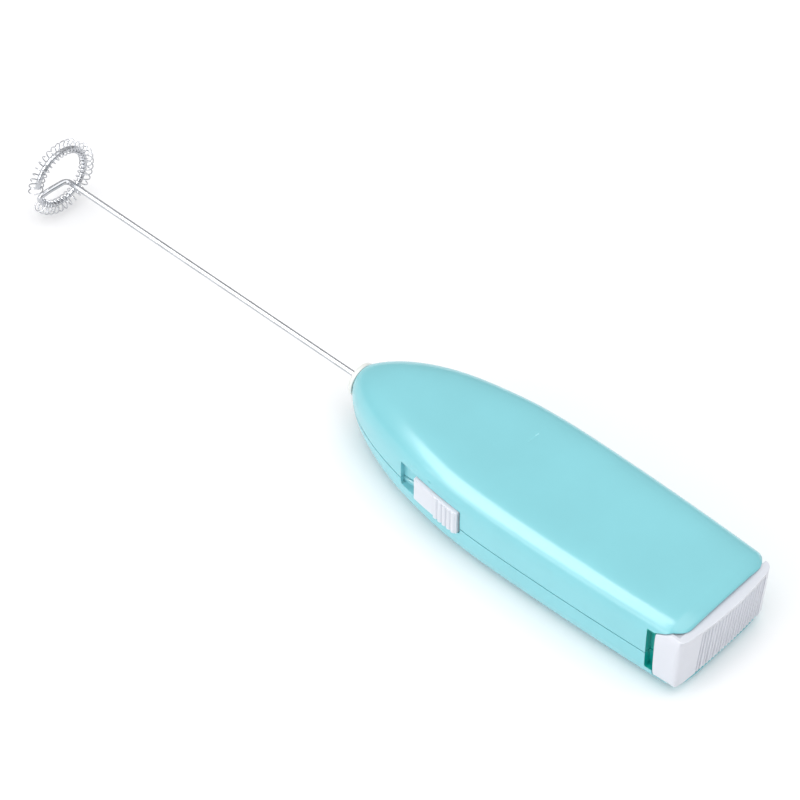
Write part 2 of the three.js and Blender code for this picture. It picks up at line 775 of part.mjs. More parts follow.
place(handle, 'lead_switch_to_motor', lead([
  [30.6, -10.8, 3.1], [33.1, -10.7, 4.6], [37.6, -10.6, 4.9], [42.1, -10.5, 4.9],
  [45, -8.6, 3.6], [46.6, -5, -1], [46.7, -3, -4.4],
]), finish.plastic(colour.redLead, 0.5));
place(handle, 'lead_motor_to_spring', lead([
  [46.7, 3, -4.9], [46.65, 4, -2.5], [47.2, 5.2, -0.6], [48, 6, 0],
]), finish.plastic(colour.blackLead, 0.5));

const shaftRun = [coupling.split + gap, motor.shaftRear];
place(spinning, 'motor_shaft', rod(motor.shaftRadius, shaftRun, 16), finish.metal(colour.steel));
place(spinning, 'armature_core', armatureCore(), finish.metal(colour.darkGrey, 0.5));
for (let i = 0; i < 3; i += 1) {
  place(spinning, `armature_winding_${i + 1}`, armatureWinding(i), finish.metal(colour.copper, 0.4));
}
place(spinning, 'commutator', commutator(), finish.metal(colour.copper));
place(spinning, 'shaft_coupling', shaftCoupling(), finish.plastic(colour.offWhite));
place(spinning, 'whisk_wire', whiskWireSolid(), finish.metal(colour.steel, 0.15));
place(spinning, 'whisk_coil', whiskCoil(), finish.metal(colour.steel, 0.15));

place(switchGroup, 'switch_slider', switchSlider(), finish.plastic(colour.paleGrey));
place(switchGroup, 'switch_bridge', switchBridge(), finish.metal(colour.brass));

place(coverGroup, 'battery_cover', batteryCover(), finish.plastic(colour.paleGrey));
place(coverGroup, 'cover_contact', coverContact(), finish.metal(colour.steel));

const box = new THREE.Box3().setFromObject(frother);
const middle = box.getCenter(new THREE.Vector3());
frother.position.set(-middle.x, -middle.y, -shell.restLevel);

export default frother;
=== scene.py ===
import json
import math
import bpy
import bmesh
from mathutils import Matrix, Vector


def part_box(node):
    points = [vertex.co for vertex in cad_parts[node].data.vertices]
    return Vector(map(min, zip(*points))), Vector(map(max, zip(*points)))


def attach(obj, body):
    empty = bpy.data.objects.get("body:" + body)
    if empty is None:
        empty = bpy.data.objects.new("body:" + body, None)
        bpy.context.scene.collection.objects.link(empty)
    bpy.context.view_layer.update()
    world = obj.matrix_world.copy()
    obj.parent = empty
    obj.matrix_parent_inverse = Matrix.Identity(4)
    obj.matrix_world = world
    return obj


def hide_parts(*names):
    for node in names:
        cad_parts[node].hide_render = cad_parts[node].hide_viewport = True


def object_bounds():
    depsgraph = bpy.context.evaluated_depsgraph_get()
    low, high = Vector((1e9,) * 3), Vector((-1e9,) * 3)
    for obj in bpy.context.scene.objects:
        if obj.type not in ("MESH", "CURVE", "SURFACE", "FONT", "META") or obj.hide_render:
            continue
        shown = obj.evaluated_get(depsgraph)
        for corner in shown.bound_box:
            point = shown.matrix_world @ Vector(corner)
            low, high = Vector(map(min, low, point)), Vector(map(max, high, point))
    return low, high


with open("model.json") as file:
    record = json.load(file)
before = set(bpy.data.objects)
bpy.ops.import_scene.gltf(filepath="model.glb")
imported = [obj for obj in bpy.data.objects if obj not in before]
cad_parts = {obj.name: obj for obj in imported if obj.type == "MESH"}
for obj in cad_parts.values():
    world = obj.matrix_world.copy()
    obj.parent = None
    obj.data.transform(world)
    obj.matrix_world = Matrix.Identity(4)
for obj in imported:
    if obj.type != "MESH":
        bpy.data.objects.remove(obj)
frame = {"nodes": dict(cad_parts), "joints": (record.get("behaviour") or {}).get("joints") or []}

cadLow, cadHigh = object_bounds()
mm = 0.001
spin = next(joint for joint in frame["joints"] if joint["name"] == "whisk_spin")
nose = Vector(spin["pos_m"])  # on the whisk axis, at the front face of the handle
print("frame loaded:", len(frame["nodes"]), "nodes")


# Pieces are built in millimetres from the nose point: X to the battery cover, Z up.
def localBox(node):
    low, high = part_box(node)
    return (low - nose) / mm, (high - nose) / mm


topLow, topHigh = localBox("top_shell")
bottomLow, bottomHigh = localBox("bottom_shell")
coverLow, coverHigh = localBox("battery_cover")
sliderLow, sliderHigh = localBox("switch_slider")
bushLow, bushHigh = localBox("nose_bush")
wireLow, wireHigh = localBox("whisk_wire")

form = {
    "length": topHigh.x,
    "halfWidth": topHigh.y,
    "widestAt": 56,
    "noseOverrun": 1.6,
    "noseFullness": 1.97,
    "rearTaper": 1.6,
    "topHeight": topHigh.z,
    "bottomHeight": 12,
    "restLevel": bottomLow.z,
    "fullHeightAt": 24,
    "heightOverrun": 3,
    "noseSquareness": 2.2,
    "bodySquareness": 5,
    "squareAt": 40,
    "rollLength": 3.2,
    "rollWidth": 1.9,
    "rollHeight": 1.5,
    "rollSlope": 0.55,
    "seamTop": topLow.z,
    "seamBottom": bottomHigh.z,
    "wall": 1.8,
    "gap": 0.3,
    "noseStations": 60,
    "bodyStations": 26,
    "rollStations": 8,
    "crease": 0.2,
    "pointsPerQuarter": 26,
    "edgeRound": 0.16,
    "cavityStations": [3.4, 4.5, 6, 8, 11, 15, 20, 26, 34, 44, 56, 70, 84, 98],
    "cavityOverrun": 4,
}


# how far a cutting block reaches, well outside the handle
beyond = 30
pastEnd = 140


# helpers for solids
def newObject(name, points, faces):
    mesh = bpy.data.meshes.new(name)
    mesh.from_pydata([tuple(point) for point in points], [], faces)
    mesh.validate()
    made = bpy.data.objects.new(name, mesh)
    bpy.context.scene.collection.objects.link(made)
    return made


def faceOutwards(item):
    work = bmesh.new()
    work.from_mesh(item.data)
    bmesh.ops.remove_doubles(work, verts=work.verts, dist=1e-4)
    bmesh.ops.recalc_face_normals(work, faces=work.faces)
    work.to_mesh(item.data)
    work.free()
    return item


def settleModifiers(item):
    graph = bpy.context.evaluated_depsgraph_get()
    graph.update()
    item.data = bpy.data.meshes.new_from_object(item.evaluated_get(graph))
    item.modifiers.clear()
    return item


def copyOf(item):
    made = item.copy()
    made.data = item.data.copy()
    bpy.context.scene.collection.objects.link(made)
    return made


def carve(target, tool, operation="DIFFERENCE"):
    change = target.modifiers.new("carve", "BOOLEAN")
    change.operation = operation
    change.solver = "MANIFOLD"
    change.object = tool
    settleModifiers(target)
    bpy.data.objects.remove(tool)
    return target


def block(x, y, z, corner=0, along=None):
    low = (x[0], y[0], z[0])
    high = (x[1], y[1], z[1])
    points = [[(low, high)[(i >> axis) & 1][axis] for axis in range(3)] for i in range(8)]
    faces = [(0, 2, 3, 1), (4, 5, 7, 6), (0, 1, 5, 4), (2, 6, 7, 3), (0, 4, 6, 2), (1, 3, 7, 5)]
    made = faceOutwards(newObject("block", points, faces))
    if corner:
        work = bmesh.new()
        work.from_mesh(made.data)
        chosen = [edge for edge in work.edges if along is None or runsAlong(edge, along)]
        bmesh.ops.bevel(work, geom=chosen, offset=corner, segments=5, profile=0.5, affect="EDGES")
        work.to_mesh(made.data)
        work.free()
    return made


def runsAlong(edge, axis):
    way = (edge.verts[1].co - edge.verts[0].co).normalized()
    return abs(way[axis]) > 0.99


def rings(name, loops, closed=False):
    count = len(loops[0])
    points = [point for loop in loops for point in loop]
    faces = []
    for i in range(len(loops) - (0 if closed else 1)):
        here, there = i * count, ((i + 1) % len(loops)) * count
        for j in range(count):
            k = (j + 1) % count
            faces.append((here + j, here + k, there + k, there + j))
    if not closed:
        faces.append(tuple(reversed(range(count))))
        faces.append(tuple(range(len(points) - count, len(points))))
    return faceOutwards(newObject(name, points, faces))


def prism(name, outline, z):
    return rings(name, [[(x, y, level) for x, y in outline] for level in z])


def turned(name, profile, sides=64):
    loops = []
    for step in range(sides):
        angle = 2 * math.pi * step / sides
        loops.append([(x, r * math.cos(angle), r * math.sin(angle)) for x, r in profile])
    return rings(name, loops, closed=True)


def softenEdges(item, width, segments=2, limit=38):
    bevel = item.modifiers.new("edges", "BEVEL")
    bevel.width = width
    bevel.segments = segments
    bevel.limit_method = "ANGLE"
    bevel.angle_limit = math.radians(limit)
    bevel.use_clamp_overlap = True
    bevel.harden_normals = True
    return settleModifiers(item)


def finishPiece(item, name, body, finish, replaced, smoothAngle=32):
    item.data.transform(Matrix.Translation(nose) @ Matrix.Scale(mm, 4))
    item.name = name
    item.data.polygons.foreach_set("use_smooth", [True] * len(item.data.polygons))
    item.data.set_sharp_from_angle(angle=math.radians(smoothAngle))
    weighted = item.modifiers.new("normals", "WEIGHTED_NORMAL")
    weighted.keep_sharp = True
    settleModifiers(item)
    item.data.name = name
    item.data.materials.clear()
    item.data.materials.append(finish)
    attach(item, body)
    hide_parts(*replaced)
    print("made", name, len(item.data.polygons), "faces")
    return item


# node arithmetic
class Tap:
    def __init__(self, tree, socket):
        self.tree = tree
        self.socket = socket

    def maths(self, operation, first, second=0.0):
        made = self.tree.nodes.new("ShaderNodeMath")
        made.operation = operation
        connect(self.tree, made.inputs[0], first)
        connect(self.tree, made.inputs[1], second)
        return Tap(self.tree, made.outputs[0])

    def __add__(self, other):
        return self.maths("ADD", self, other)

    def __radd__(self, other):
        return self.maths("ADD", other, self)

    def __sub__(self, other):
        return self.maths("SUBTRACT", self, other)

    def __rsub__(self, other):
        return self.maths("SUBTRACT", other, self)

    def __mul__(self, other):
        return self.maths("MULTIPLY", self, other)

    def __truediv__(self, other):
        return self.maths("DIVIDE", self, other)

    def sine(self):
        return self.maths("SINE", self)

    def cosine(self):
        return self.maths("COSINE", self)

    def root(self):
        return self.maths("SQRT", self)

    def above(self, other):
        return self.maths("GREATER_THAN", self, other)


def connect(tree, socket, value):
    if isinstance(value, Tap):
        tree.links.new(value.socket, socket)
    else:
        socket.default_value = value


class Tree:
    def __init__(self, tree):
        self.tree = tree

    def node(self, kind, settings=None, inputs=None, output=0):
        made = self.tree.nodes.new(kind)
        for key, value in (settings or {}).items():
            if key == "stops":
                for stop, (position, colour) in zip(made.color_ramp.elements, value):
                    stop.position = position
                    stop.color = colour
            else:
                setattr(made, key, value)
        for key, value in (inputs or {}).items():
            connect(self.tree, made.inputs[key], value)
        return Tap(self.tree, made.outputs[output]) if len(made.outputs) else None

    def vector(self, x, y, z):
        return self.node("ShaderNodeCombineXYZ", inputs={0: x, 1: y, 2: z})


# finishes
def tone(red, green, blue):  # eight-bit display values to a linear colour
    def linear(value):
        value /= 255
        return value / 12.92 if value <= 0.04045 else ((value + 0.055) / 1.055) ** 2.4
    return (linear(red), linear(green), linear(blue), 1.0)


class Finish(Tree):
    def __init__(self, name):
        self.material = bpy.data.materials.new(name)
        self.material.use_nodes = True
        super().__init__(self.material.node_tree)
        self.tree.nodes.clear()
        self.point = self.node("ShaderNodeTexCoord", output=3)

    def noise(self, scale, detail=3.0, stretch=(1, 1, 1), roughness=0.5):
        where = self.point
        if stretch != (1, 1, 1):
            where = self.node("ShaderNodeMapping", inputs={"Vector": where, "Scale": stretch})
        return self.node("ShaderNodeTexNoise", inputs={
            "Vector": where, "Scale": scale, "Detail": detail, "Roughness": roughness})

    def band(self, value, low, high, fromLevel, toLevel):
        return self.node("ShaderNodeMapRange", inputs={
            "Value": value, "From Min": low, "From Max": high, "To Min": fromLevel, "To Max": toLevel})

    def mix(self, factor, first, second):
        made = self.tree.nodes.new("ShaderNodeMix")
        made.data_type = "RGBA"
        connect(self.tree, made.inputs[0], factor)
        connect(self.tree, made.inputs[6], first)
        connect(self.tree, made.inputs[7], second)
        return Tap(self.tree, made.outputs[2])

    def bump(self, height, distance, under=None):
        inputs = {"Height": height, "Distance": distance}
        if under:
            inputs["Normal"] = under
        return self.node("ShaderNodeBump", inputs=inputs)

    def close(self, colour, roughness, normal, fixed):
        inputs = {"Base Color": colour, "Roughness": roughness, "Normal": normal}
        surface = self.node("ShaderNodeBsdfPrincipled", inputs={**inputs, **fixed})
        self.node("ShaderNodeOutputMaterial", inputs={"Surface": surface})
        return self.material

    def inside(self, low, high):
        # 1 between two corners, 0 elsewhere
        share = 1.0
        for axis in range(3):
            value = self.along(axis)
            share = value.above(low[axis]) * (1 - value.above(high[axis])) * share
        return share

    def along(self, axis):
        return self.node("ShaderNodeSeparateXYZ", inputs={0: self.point}, output=axis)


def mouldedPlastic(name, colour, look, pocket=None):
    # gloss plastic: faint cloudiness in the pigment, orange peel and hairline handling marks; where a slot
    # box is given, painted shade fills it
    made = Finish(name)
    cloud = made.noise(look["cloudScale"], 4)
    darker = tuple(channel * look["cloudDepth"] for channel in colour[:3]) + (1.0,)
    lighter = tuple(min(1.0, channel * look["cloudLift"]) for channel in colour[:3]) + (1.0,)
    pigmentAndPaintedShade = made.mix(made.band(cloud, 0.35, 0.65, 0, 1), darker, lighter)
    if pocket:
        # painted shade: inside the given box the colour turns to the box's dark teal, standing in for the
        # shade in the slot
        pigmentAndPaintedShade = made.mix(made.inside(pocket["low"], pocket["high"]), pigmentAndPaintedShade, pocket["colour"])
    marks = made.noise(look["markScale"], 6, (1, 9, 9), 0.62)
    scuffed = made.band(marks, 0.55, 0.8, 0, 1)
    smear = made.noise(look["smearScale"], 3)
    roughness = look["roughness"] + smear * look["smear"] + scuffed * look["scuff"]
    peel = made.noise(look["peelScale"], 2)
    normal = made.bump(peel, look["peelDepth"])
    normal = made.bump(marks, look["markDepth"], under=normal)
    return made.close(pigmentAndPaintedShade, roughness, normal, look["fixed"])


plasticLook = {
    "cloudScale": 60, "cloudDepth": 0.975, "cloudLift": 1.015,
    "markScale": 320, "markDepth": 0.0000012,
    "smearScale": 45, "smear": 0.05, "scuff": 0.05,
    "peelScale": 900, "peelDepth": 0.0000035,
    "roughness": 0.2,
    "fixed": {"IOR": 1.5, "Coat Roughness": 0.08, "Coat Weight": 0.25},
}
satinLook = {
    **plasticLook,
    "roughness": 0.33, "peelScale": 1600, "peelDepth": 0.000006,
    "fixed": {"IOR": 1.48},
}


def drawnMetal(name, colour, look):
    # drawn or rolled metal: lines along one axis, cloudy tarnish and a soft variation of gloss
    made = Finish(name)
    lines = made.noise(look["lineScale"], 4, look["lineStretch"])
    tarnish = made.noise(look["tarnishScale"], 5)
    dull = tuple(channel * look["dull"] for channel in colour[:3]) + (1.0,)
    shade = made.mix(made.band(tarnish, 0.4, 0.7, 0, 1), colour, dull)
    roughness = look["roughness"] + lines * look["lineRoughness"] + tarnish * look["tarnishRoughness"]
    normal = made.bump(lines, look["lineDepth"])
    return made.close(shade, roughness, normal, {"Metallic": look["metallic"]})


wireLook = {
    "lineScale": 400, "lineStretch": (0.06, 1, 1), "lineDepth": 0.000004,
    "tarnishScale": 180, "dull": 0.72,
    "roughness": 0.1, "lineRoughness": 0.12, "tarnishRoughness": 0.08,
    "metallic": 1.0,
}
coilLook = {**wireLook, "lineStretch": (1, 1, 1), "roughness": 0.14}
stripLook = {**wireLook, "lineStretch": (0.1, 1, 1), "roughness": 0.2, "tarnishScale": 300}
castLook = {
    **wireLook, "lineStretch": (1, 1, 1), "lineScale": 1500, "lineDepth": 0.00004,
    "roughness": 0.5, "metallic": 0.4,
}
laminatedLook = {**wireLook, "lineScale": 2200, "lineStretch": (1, 0.02, 0.02), "roughness": 0.4}
enamelLook = {
    **wireLook, "lineScale": 1900, "lineStretch": (0.02, 1, 1), "lineDepth": 0.00006,
    "roughness": 0.22,
}
sleeveLook = {
    **plasticLook, "roughness": 0.45, "peelScale": 2400, "peelDepth": 0.00001,
    "fixed": {"IOR": 1.45},
}


def cellJacket(name, goldFrom, goldTo):
    # a plain printed jacket: a copper shoulder at the positive end and a dark body
    made = Finish(name)
    x = made.along(0)
    low, high = sorted((goldFrom, goldTo))
    shoulder = x.above(low) * (1 - x.above(high))
    fleck = made.noise(700, 4)
    dark = made.mix(fleck, tone(58, 66, 82), tone(70, 80, 98))
    gold = made.mix(fleck, tone(196, 140, 84), tone(214, 160, 98))
    roughness = 0.24 + made.noise(90, 3) * 0.12
    normal = made.bump(made.noise(240, 5, (0.2, 1, 1)), 0.00001)
    jacket = made.mix(shoulder, dark, gold)
    return made.close(jacket, roughness, normal, {"Metallic": 0.35, "Coat Weight": 0.5})


# painted shade: the floor and walls of the cover's slot on the near side are painted a deep dark teal
# instead of being left to the light
slotPaintedShade = {
    "low": nose + Vector((form["length"] - 8.3, -17.1, -6.6)) * mm,
    "high": nose + Vector((form["length"] - 6.1, -15, 6.4)) * mm,
    "colour": tone(4, 158, 148),
}
aquaPlastic = mouldedPlastic("aquaPlastic", tone(129, 202, 211), plasticLook, slotPaintedShade)
whitePlastic = mouldedPlastic("noseWhite", tone(228, 230, 226), satinLook)
greyPlastic = mouldedPlastic("paleGrey", tone(214, 217, 225), {**plasticLook, "roughness": 0.28})
whiskSteel = drawnMetal("whiskSteel", tone(196, 198, 202), wireLook)
springWire = drawnMetal("coilSteel", tone(206, 208, 212), coilLook)
springSteel = drawnMetal("springSteel", tone(200, 203, 208), stripLook)
brassStrip = drawnMetal("brassStrip", tone(206, 168, 92), stripLook)
motorSteel = drawnMetal("motorSteel", tone(188, 190, 194), {**stripLook, "roughness": 0.26})
ferrite = drawnMetal("ferrite", tone(60, 60, 64), castLook)
coreIron = drawnMetal("coreIron", tone(104, 104, 110), laminatedLook)
copperWire = drawnMetal("copperWire", tone(190, 108, 66), enamelLook)
copperSheet = drawnMetal("copperSheet", tone(198, 120, 78), stripLook)
redSleeve = mouldedPlastic("redSleeve", tone(186, 44, 38), sleeveLook)
blackSleeve = mouldedPlastic("blackSleeve", tone(34, 35, 40), sleeveLook)


# outer form of the handle
def halfWidth(x):
    if x < form["widestAt"]:
        share = (form["widestAt"] - x) / (form["widestAt"] + form["noseOverrun"])
        return form["halfWidth"] * math.sqrt(1 - share ** form["noseFullness"])
    late = (x - form["widestAt"]) / (form["length"] - form["widestAt"])
    return form["halfWidth"] - form["rearTaper"] * late * late


def heightShare(x):
    if x >= form["fullHeightAt"]:
        return 1.0
    share = (form["fullHeightAt"] - x) / (form["fullHeightAt"] + form["heightOverrun"])
    return math.sqrt(1 - share * share)


def rollDrop(x):
    share = min(1.0, max(0.0, (x - form["length"] + form["rollLength"]) / form["rollLength"]))
    return form["rollSlope"] * share + (1 - form["rollSlope"]) * (1 - math.sqrt(1 - share * share))


def quarterAngles(exponent, count):
    # angles round a quarter of the section, closer together where it turns sharply
    fine = 400
    raw = [math.pi / 2 * i / fine for i in range(fine + 1)]
    spots = [(math.cos(a) ** (2 / exponent), math.sin(a) ** (2 / exponent)) for a in raw]
    travel = [0.0]
    previous = None
    for (y0, z0), (y1, z1) in zip(spots, spots[1:]):
        heading = math.atan2(z1 - z0, y1 - y0)
        turn = abs(heading - previous) if previous is not None else 0.0
        previous = heading
        travel.append(travel[-1] + math.hypot(y1 - y0, z1 - z0) + 0.9 * turn)
    angles = []
    spot = 0
    for i in range(count):
        wanted = travel[-1] * i / count
        while travel[spot + 1] < wanted:
            spot += 1
        part = (wanted - travel[spot]) / (travel[spot + 1] - travel[spot])
        angles.append(raw[spot] + (raw[spot + 1] - raw[spot]) * part)
    return angles


def sectionRing(x, inset, rolled):
    drop = rollDrop(x) if rolled else 0.0
    grown = min(1.0, x / form["squareAt"])
    exponent = form["noseSquareness"] + (form["bodySquareness"] - form["noseSquareness"]) * grown
    angles = quarterAngles(exponent, form["pointsPerQuarter"])
    mirrored = [math.pi / 2] + [math.pi - a for a in reversed(angles[1:])]
    half = angles + mirrored + [math.pi]
    width = halfWidth(x) - form["rollWidth"] * drop - inset
    ring = []
    for a in half[:-1] + [-a for a in reversed(half[1:])]:
        lift = form["topHeight"] if math.sin(a) > 0 else form["bottomHeight"]
        height = lift * heightShare(x) - form["rollHeight"] * drop - inset
        y = width * math.copysign(abs(math.cos(a)) ** (2 / exponent), math.cos(a))
        z = height * math.copysign(abs(math.sin(a)) ** (2 / exponent), math.sin(a))
        ring.append((x, y, max(z, form["restLevel"] + inset)))
    return ring


def handleSolid(stations, inset=0.0, rolled=True):
    return rings("form", [sectionRing(x, inset, rolled) for x in stations])


def outerStations():
    steps = [form["widestAt"] * (i / form["noseStations"]) ** 1.7 for i in range(form["noseStations"])]
    rollStart = form["length"] - form["rollLength"]
    for i in range(form["bodyStations"]):
        steps.append(form["widestAt"] + (rollStart - form["widestAt"]) * i / form["bodyStations"])
    steps += [rollStart - form["crease"], rollStart + form["crease"]]  # keeps the start of the roll crisp
    for i in range(1, form["rollStations"] + 1):
        turn = math.pi / 2 * i / form["rollStations"]
        steps.append(rollStart + form["rollLength"] * math.sin(turn))
    return steps


recess = {
    "front": 25.9, "rear": 46.4, "bottom": -3.5, "top": 4, "corner": 0.5,
    "floor": -14.4, "floorWall": 1.2, "wall": 1.5, "inside": -20,
}
stemSlot = {"x": (31.6, 42.1), "y": (-16, -12), "z": (-1.3, 1.9)}
rear = {
    "flangeRear": form["length"] - 2.8,
    "lipRear": form["length"] - 1.1,
    "lipDepth": 6,
    "lipLevels": ((6, 8.9), (-10.5, -6)),
    "wingFront": coverLow.x,
    "wingRear": form["length"] - 0.33,
    "wingInside": -15.2,
    "slotFront": form["length"] - 8.2,
    "slotBottom": -6.4,
    "slotTop": 6.2,
    "slotFloor": -15.4,
    "slotCorner": 0.4,
    "backingWall": 0.5,
    "backingMargin": 0.6,
    "wingTop": 6.2,
    "cornerInside": -11.5,
    "farEnd": 13,
}
cellFront, cellRear = (corner.x for corner in localBox("cell_near"))
bulkhead = {"x": (cellFront - 5.8, cellFront - 4.9), "halfWidth": 18, "levels": ((-13, -3.2), (3.6, 12))}
divider = {"x": (cellFront + 1, cellRear - 4), "halfWidth": 0.6, "levels": ((-10.6, -5), (5, 8.9))}
noseBore = {"front": -1, "rear": 4.8, "radius": 2.7, "axis": 0.01}


def wingSolid(grow, end, y):
    # side outline of the cover's wing in X and Z, pulled along Y
    outline = [
        (rear["wingFront"] - grow, coverLow.z - grow),
        (end, coverLow.z - grow),
        (end, coverHigh.z + grow),
        (rear["flangeRear"] + form["gap"], coverHigh.z + grow),
        (rear["wingFront"] - grow, rear["wingTop"] + grow),
    ]
    return rings("wing", [[(x, level, z) for x, z in outline] for level in y])


def shellBody():
    outer = handleSolid(outerStations())
    gap = form["gap"]
    cavityStations = form["cavityStations"] + [form["length"] + form["cavityOverrun"]]
    cavity = handleSolid(cavityStations, form["wall"], False)
    pocket = block((recess["front"] - recess["wall"], recess["rear"] + recess["wall"]),
                   (recess["inside"], recess["floor"] + recess["floorWall"]),
                   (recess["bottom"] - recess["wall"], recess["top"] + recess["wall"]))
    carve(pocket, copyOf(outer), "INTERSECT")
    body = carve(copyOf(outer), cavity)

    # room for the cover, then the lips it hooks over and the wall behind its slot
    seatX = rear["flangeRear"] + gap
    carve(body, block((seatX, pastEnd), (-beyond, beyond), (coverLow.z - gap, coverHigh.z + gap)))
    carve(body, pocket, "UNION")
    for levels in rear["lipLevels"]:
        lip = block((seatX, rear["lipRear"]), (rear["cornerInside"] + gap, rear["farEnd"] + 0.6), levels)
        carve(body, carve(lip, copyOf(outer), "INTERSECT"), "UNION")
    margin = rear["backingMargin"]
    backing = block((rear["slotFront"] - 0.5, rear["wingFront"]),
                    (rear["slotFloor"], rear["slotFloor"] + rear["backingWall"]),
                    (rear["slotBottom"] - margin, rear["slotTop"] + margin))
    carve(body, backing, "UNION")

    # ribs in front of the cells and between them
    for levels in bulkhead["levels"]:
        wall = block(bulkhead["x"], (-bulkhead["halfWidth"], bulkhead["halfWidth"]), levels)
        carve(body, carve(wall, copyOf(outer), "INTERSECT"), "UNION")
    for levels in divider["levels"]:
        carve(body, block(divider["x"], (-divider["halfWidth"], divider["halfWidth"]), levels), "UNION")

    # openings: collar, switch, the stem of the switch, slot and wing of the cover
    carve(body, turned("bore", [
        (noseBore["front"], noseBore["axis"]), (noseBore["front"], noseBore["radius"]),
        (noseBore["rear"], noseBore["radius"]), (noseBore["rear"], noseBore["axis"])]))
    carve(body, block((recess["front"], recess["rear"]), (-beyond, recess["floor"]),
                      (recess["bottom"], recess["top"]), recess["corner"], 1))
    carve(body, block(stemSlot["x"], stemSlot["y"], stemSlot["z"]))
    carve(body, block((rear["slotFront"], rear["wingFront"] + 1), (-beyond, rear["slotFloor"]),
                      (rear["slotBottom"], rear["slotTop"]), rear["slotCorner"], 1))
    carve(body, wingSolid(gap, pastEnd, (-beyond, -13)))
    bpy.data.objects.remove(outer)
    return body


def makeShells():
    body = shellBody()
    span = ((-5, 130), (-beyond, beyond))
    top = carve(copyOf(body), block(*span, (form["seamTop"], beyond)), "INTERSECT")
    bottom = carve(body, block(*span, (-beyond, form["seamBottom"])), "INTERSECT")
    for half, name in ((top, "top_shell"), (bottom, "bottom_shell")):
        softenEdges(half, form["edgeRound"])
        finishPiece(half, name + "_moulding", "handle", aquaPlastic, [name])


makeShells()


# nose collar
collar = {
    "radius": bushHigh.y, "front": bushLow.x, "rear": -0.3, "edge": 1.0,
    "stem": 2.4, "stemEnd": bushHigh.x, "bore": 1.05, "boreEdge": 0.25, "rearEdge": 0.15,
}


def makeCollar():
    edge, boreEdge, rearEdge = collar["edge"], collar["boreEdge"], collar["rearEdge"]
    profile = [(collar["front"] + boreEdge, collar["bore"]), (collar["front"], collar["bore"] + boreEdge)]
    for i in range(9):
        angle = math.pi / 2 * i / 8
        x = collar["front"] + edge * (1 - math.cos(angle))
        profile.append((x, collar["radius"] - edge * (1 - math.sin(angle))))
    profile += [(collar["rear"] - rearEdge, collar["radius"]), (collar["rear"], collar["radius"] - rearEdge)]
    profile += [(collar["rear"], collar["stem"]), (collar["stemEnd"], collar["stem"])]
    profile += [(collar["stemEnd"], collar["bore"])]
    made = turned("collar", profile, 72)
    finishPiece(made, "nose_collar", "handle", whitePlastic, ["nose_bush"])


makeCollar()


# whisk: one wire, straight, bent down into an almost closed ring
wireRadius = 0.72
whisk = {
    "radius": wireRadius,
    "ringAt": wireLow.x + wireRadius,
    "ringRadius": 8,
    "bend": 1.8,
    "bendSweep": 1.35,
    "armLead": 1.6,
    "armReach": 3,
    "armTurn": 1.8,
    "joinAngle": 0.2,
    "ringEnd": 5.95,
    "lean": 0.15,
    "innerEnd": wireHigh.x,
    "sides": 20,
}


def ringPoint(angle):
    # angle 0 is -Y, where the arm meets the ring, and it grows towards -Z
    radius = whisk["ringRadius"]
    return Vector((whisk["ringAt"], -radius * math.cos(angle), -radius * math.sin(angle)))


def whiskPath():
    bend, sweep, join = whisk["bend"], whisk["bendSweep"], whisk["joinAngle"]
    armFrom = whisk["ringAt"] + whisk["armLead"]
    bendStart = armFrom + bend * math.sin(sweep)
    points = []
    for i in range(40):
        points.append(Vector((whisk["innerEnd"] + (bendStart - whisk["innerEnd"]) * i / 40, 0, 0)))
    for i in range(14):
        angle = sweep * i / 14
        points.append(Vector((bendStart - bend * math.sin(angle), -bend * (1 - math.cos(angle)), 0)))
    start = Vector((armFrom, -bend * (1 - math.cos(sweep)), 0))
    end = ringPoint(join)
    leave = start + Vector((-math.cos(sweep), -math.sin(sweep), 0)) * whisk["armReach"]
    catch = end - Vector((0, math.sin(join), -math.cos(join))) * whisk["armTurn"]
    for i in range(24):
        t = i / 24
        rest = 1 - t
        points.append(start * rest ** 3 + leave * (3 * t * rest * rest)
                      + catch * (3 * t * t * rest) + end * t ** 3)
    for i in range(151):
        points.append(ringPoint(join + i / 150 * (whisk["ringEnd"] - join)))
    return points


def sweptWire(name, points, radius, sides):
    loops = []
    turns = [2 * math.pi * j / sides for j in range(sides)]
    spokes = [(math.cos(turn), math.sin(turn)) for turn in turns]
    across = Vector((0, 0, 1))
    for i, point in enumerate(points):
        ahead = points[min(i + 1, len(points) - 1)] - points[max(i - 1, 0)]
        ahead.normalize()
        across = (across - ahead * across.dot(ahead)).normalized()
        other = ahead.cross(across)
        ends = [(0.0, 1.0)]
        if i == 0:
            ends = [(0.0, 0.7), (0.12 * radius, 0.93), (0.35 * radius, 1.0)]
        if i == len(points) - 1:
            ends = [(-0.35 * radius, 1.0), (-0.12 * radius, 0.93), (0.0, 0.7)]
        for shift, share in ends:
            middle = point + ahead * shift
            loops.append([middle + (across * c + other * s) * radius * share for c, s in spokes])
    return rings(name, loops)


def makeWhiskWire():
    made = sweptWire("whiskWire", whiskPath(), whisk["radius"], whisk["sides"])
    made.data.transform(Matrix.Rotation(whisk["lean"], 4, "X"))
    finishPiece(made, "whisk_wire_bent", "whisk", whiskSteel, ["whisk_wire"], 50)


makeWhiskWire()


# geometry node trees
def geometryTree(name, sizes):
    group = bpy.data.node_groups.new(name, "GeometryNodeTree")
    for label, kind in sizes:
        group.interface.new_socket(name=label, in_out="INPUT", socket_type=kind)
    group.interface.new_socket(name="Material", in_out="INPUT", socket_type="NodeSocketMaterial")
    group.interface.new_socket(name="Geometry", in_out="OUTPUT", socket_type="NodeSocketGeometry")
    build = Tree(group)
    entry = group.nodes.new("NodeGroupInput")
    given = {socket.name: Tap(group, socket) for socket in entry.outputs if socket.name}
    return build, given


def endTree(build, given, geometry):
    solid = build.node("GeometryNodeRealizeInstances", inputs={0: geometry})
    coloured = build.node("GeometryNodeSetMaterial", inputs={
        "Geometry": solid, "Material": given["Material"]})
    build.node("NodeGroupOutput", inputs={0: coloured})


